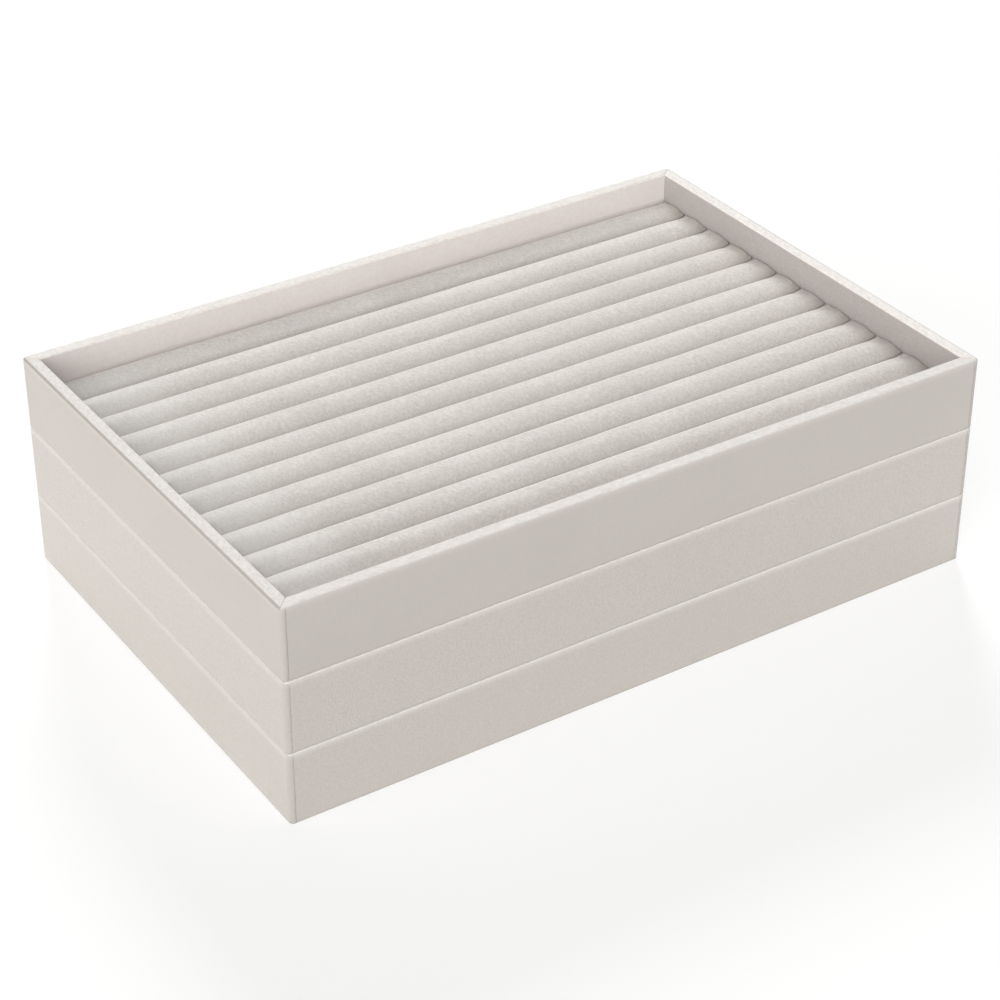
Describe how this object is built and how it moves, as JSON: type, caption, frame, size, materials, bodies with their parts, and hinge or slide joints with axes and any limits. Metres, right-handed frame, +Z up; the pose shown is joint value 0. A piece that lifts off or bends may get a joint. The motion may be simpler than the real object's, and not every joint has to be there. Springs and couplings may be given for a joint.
{
  "type": "jewelry tray set",
  "caption": "Stack of shallow rectangular jewelry trays in pale leatherette lined with velvet: long ring rolls on top, a grid of cells, and wide compartments below.",
  "frame": {"origin": "centre of the footprint at the underside of the lowest tray", "axes": "+X along the long side to the right, +Y from the front wall to the back wall, +Z up through the stack"},
  "size_m": [0.35, 0.231, 0.105],
  "materials": {
    "leatherette": "fine pebble grain, matt",
    "velvet": "short pile velvet",
    "floor_velvet": "flat suede pile",
    "base_velvet": "flocked sheet",
    "board": "raw fibreboard"
  },
  "bodies": {
    "bottom_tray": {"bottom_base_board": "board", "bottom_base_sheet": "base_velvet", "bottom_cell_divider_1": "velvet", "bottom_cell_divider_2": "velvet", "bottom_cell_divider_3": "velvet", "bottom_floor_pad": "floor_velvet", "bottom_liner_back": "velvet", "bottom_liner_front": "velvet", "bottom_liner_left": "velvet", "bottom_liner_right": "velvet", "bottom_outer_cover": "leatherette", "bottom_row_divider_1": "velvet", "bottom_row_divider_2": "velvet", "bottom_wall_back": "board", "bottom_wall_front": "board", "bottom_wall_left": "board", "bottom_wall_right": "board"},
    "grid_tray": {"grid_base_board": "board", "grid_base_sheet": "base_velvet", "grid_cross_divider_1": "velvet", "grid_cross_divider_2": "velvet", "grid_cross_divider_3": "velvet", "grid_cross_divider_4": "velvet", "grid_cross_divider_5": "velvet", "grid_floor_pad": "floor_velvet", "grid_liner_back": "velvet", "grid_liner_front": "velvet", "grid_liner_left": "velvet", "grid_liner_right": "velvet", "grid_long_divider_1": "velvet", "grid_long_divider_2": "velvet", "grid_long_divider_3": "velvet", "grid_outer_cover": "leatherette", "grid_wall_back": "board", "grid_wall_front": "board", "grid_wall_left": "board", "grid_wall_right": "board"},
    "ring_tray": {"ring_base_board": "board", "ring_base_sheet": "base_velvet", "ring_liner_back": "velvet", "ring_liner_front": "velvet", "ring_liner_left": "velvet", "ring_liner_right": "velvet", "ring_outer_cover": "leatherette", "ring_roll_01": "velvet", "ring_roll_02": "velvet", "ring_roll_03": "velvet", "ring_roll_04": "velvet", "ring_roll_05": "velvet", "ring_roll_06": "velvet", "ring_roll_07": "velvet", "ring_roll_08": "velvet", "ring_roll_09": "velvet", "ring_roll_10": "velvet", "ring_roll_11": "velvet", "ring_roll_12": "velvet", "ring_wall_back": "board", "ring_wall_front": "board", "ring_wall_left": "board", "ring_wall_right": "board"}
  },
  "joints": [
    {"name": "grid_tray_lift", "type": "slide", "parent": "bottom_tray", "child": "grid_tray", "axis": [0, 0, 1], "range_m": [0, 0.0915]},
    {"name": "ring_tray_lift", "type": "slide", "parent": "grid_tray", "child": "ring_tray", "axis": [0, 0, 1], "range_m": [0, 0.0866]}
  ]
}
